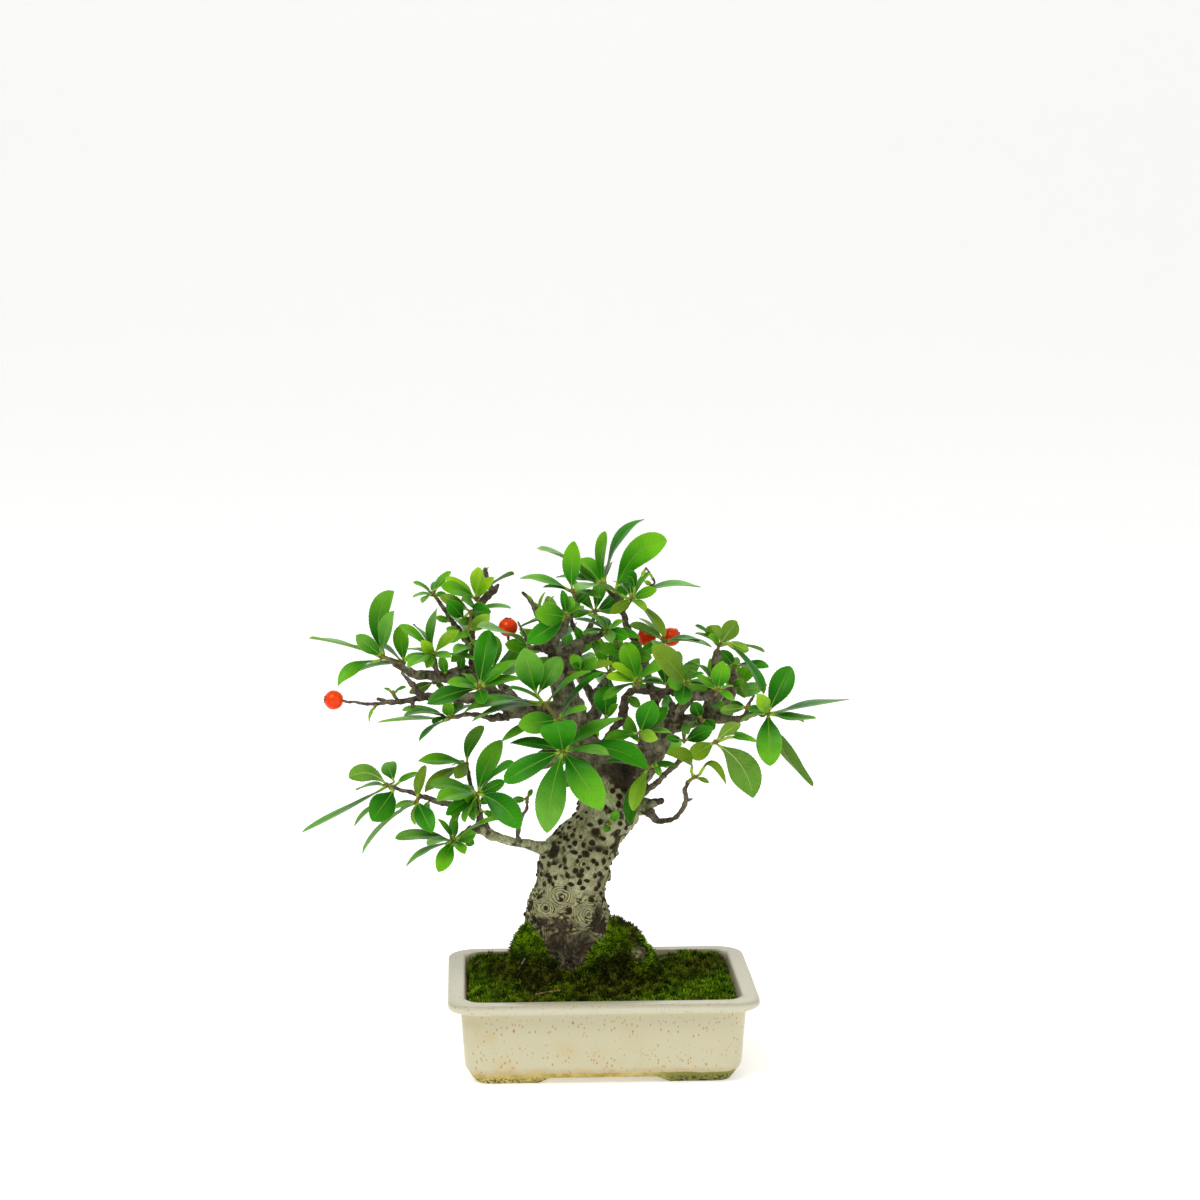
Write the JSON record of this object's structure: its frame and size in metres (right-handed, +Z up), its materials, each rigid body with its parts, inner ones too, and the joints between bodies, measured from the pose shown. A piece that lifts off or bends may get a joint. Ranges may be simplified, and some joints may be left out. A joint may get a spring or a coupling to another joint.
{
  "type": "bonsai tree in pot",
  "caption": "Small firethorn bonsai with a leaning trunk, narrow glossy leaves and a few orange-red berries, growing from a mossy mound in a cream glazed rectangular pot.",
  "frame": {"origin": "on the ground plane under the middle of the whole object's bounding box", "axes": "+Z up, +X along the pot's long side to the viewer's right, -Y towards the viewer of the tree's front"},
  "size_m": [0.2198, 0.1096, 0.2219],
  "materials": {
    "glaze": "satin cream glaze with fine iron speckles, unglazed tan clay at the feet",
    "screen": "matte black mesh",
    "soil": "dark granular potting soil",
    "moss": "short damp moss cushions",
    "bark": "grey-green bark with dark knots and scars, dark brown at the base",
    "leaf": "glossy green upper side, pale matte underside, pale midrib",
    "berry": "glossy orange-red skin"
  },
  "bodies": {
    "root": {"pot": "glaze", "drain_screen_left": "screen", "drain_screen_right": "screen", "soil": "soil", "moss": "moss", "wood": "bark", "berry_left": "berry", "berry_upper_left": "berry", "berry_right_a": "berry", "berry_right_b": "berry", "spray_front_crown": "leaf", "spray_front_left": "leaf", "spray_left_limb": "leaf", "spray_left_under": "leaf", "spray_left_inner": "leaf", "spray_left_hollow": "leaf", "spray_left_end": "leaf", "spray_left_shoot": "leaf", "spray_upper_left": "leaf", "spray_upper_left_top": "leaf", "spray_upper_left_tip": "leaf", "spray_upper_left_arch": "leaf", "spray_crown_left": "leaf", "spray_crown_top": "leaf", "spray_crown_right": "leaf", "spray_crown_front": "leaf", "spray_crown_inner": "leaf", "spray_stem_top": "leaf", "spray_stem_front": "leaf", "spray_right_inner": "leaf", "spray_right_front": "leaf", "spray_right_low": "leaf", "spray_trunk_sprout": "leaf", "spray_berries": "leaf", "spray_right_broad": "leaf", "spray_right_shelf": "leaf", "spray_right_top": "leaf", "spray_right_top_behind": "leaf", "spray_right_end": "leaf", "spray_right_thorn": "leaf", "spray_right_drop": "leaf", "spray_right_under": "leaf", "spray_right_nook": "leaf", "spray_curl_end": "leaf", "spray_low_inner": "leaf", "spray_low_top": "leaf", "spray_low_middle": "leaf", "spray_low_end": "leaf", "spray_low_drop": "leaf", "spray_low_sprig": "leaf", "spray_rear_top": "leaf", "spray_rear_fork": "leaf", "spray_rear_right": "leaf", "spray_rear_right_low": "leaf", "spray_rear_low": "leaf", "spray_rear_low_right": "leaf", "spray_rear_left": "leaf", "spray_rear_far_right": "leaf", "spray_rear_leader": "leaf", "spray_rear_leader_left": "leaf"}
  },
  "joints": []
}
